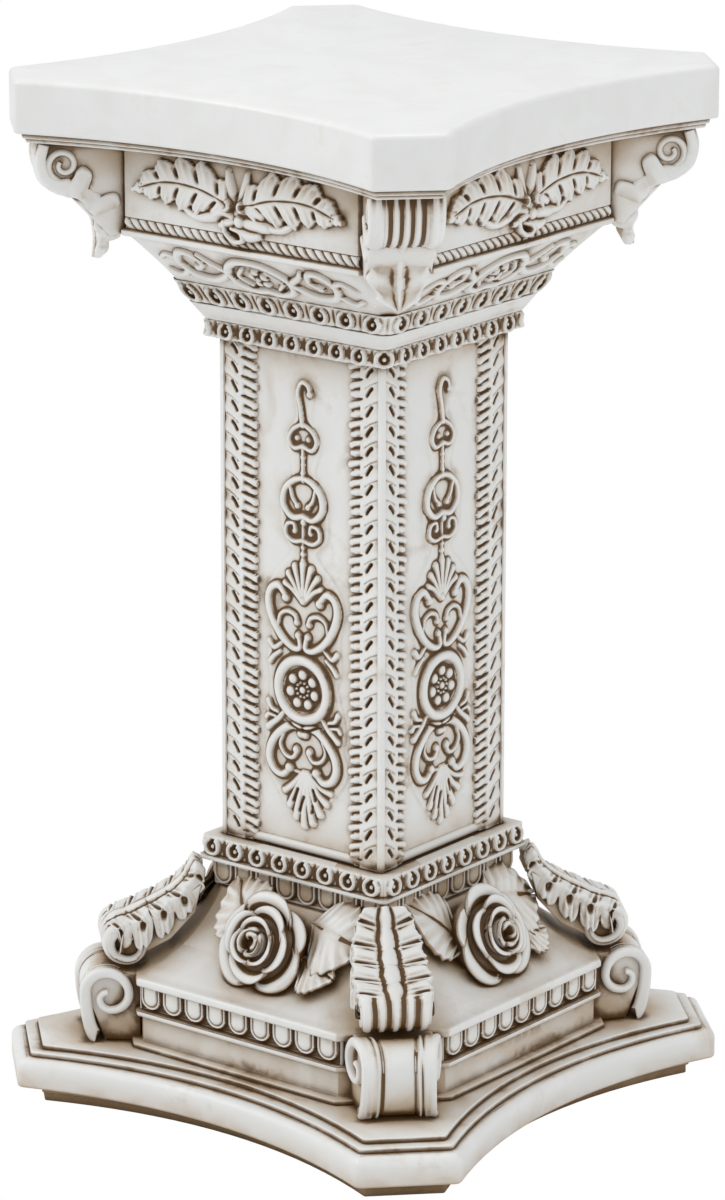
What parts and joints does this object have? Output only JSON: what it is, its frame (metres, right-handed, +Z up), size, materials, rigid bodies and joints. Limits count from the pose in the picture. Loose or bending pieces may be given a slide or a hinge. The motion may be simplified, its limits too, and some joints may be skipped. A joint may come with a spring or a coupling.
{
  "type": "pedestal column stand",
  "caption": "Square panelled column pedestal with a concave-sided slab and plinth, corner scrolls, roses, leaf borders and bead and tongue mouldings",
  "frame": {"origin": "on the floor, under the middle of the base", "axes": "+Z up along the shaft; +X right and -Y front as the front face is met; the four faces are alike"},
  "size_m": [0.1654, 0.1654, 0.3],
  "materials": {
    "cast_body": "antique white, satin",
    "cast_ornament": "antique white with a brown wash in the hollows"
  },
  "bodies": {
    "root": {"acanthus_console_back_left": "cast_ornament", "acanthus_console_back_right": "cast_ornament", "acanthus_console_front_left": "cast_ornament", "acanthus_console_front_right": "cast_ornament", "base_block": "cast_body", "bead_ring": "cast_ornament", "bell": "cast_body", "capital_frieze": "cast_body", "capital_volute_back_left": "cast_ornament", "capital_volute_back_right": "cast_ornament", "capital_volute_front_left": "cast_ornament", "capital_volute_front_right": "cast_ornament", "collar_beads": "cast_ornament", "corner_bolster_back_left": "cast_ornament", "corner_bolster_back_right": "cast_ornament", "corner_bolster_front_left": "cast_ornament", "corner_bolster_front_right": "cast_ornament", "cove_scroll_back": "cast_ornament", "cove_scroll_front": "cast_ornament", "cove_scroll_left": "cast_ornament", "cove_scroll_right": "cast_ornament", "foot": "cast_body", "leaf_spray_back": "cast_ornament", "leaf_spray_front": "cast_ornament", "leaf_spray_left": "cast_ornament", "leaf_spray_right": "cast_ornament", "panel_drop_back": "cast_ornament", "panel_drop_front": "cast_ornament", "panel_drop_left": "cast_ornament", "panel_drop_right": "cast_ornament", "panel_frame_back": "cast_ornament", "panel_frame_front": "cast_ornament", "panel_frame_left": "cast_ornament", "panel_frame_right": "cast_ornament", "plain_band": "cast_body", "plinth": "cast_body", "rope_moulding": "cast_ornament", "rose_back": "cast_ornament", "rose_front": "cast_ornament", "rose_leaves_back": "cast_ornament", "rose_leaves_front": "cast_ornament", "rose_leaves_left": "cast_ornament", "rose_leaves_right": "cast_ornament", "rose_left": "cast_ornament", "rose_right": "cast_ornament", "shaft": "cast_body", "slab": "cast_body", "tongue_ring": "cast_ornament", "tongue_strip_back": "cast_ornament", "tongue_strip_front": "cast_ornament", "tongue_strip_left": "cast_ornament", "tongue_strip_right": "cast_ornament", "under_plate": "cast_body", "upper_beads": "cast_ornament"}
  },
  "joints": []
}
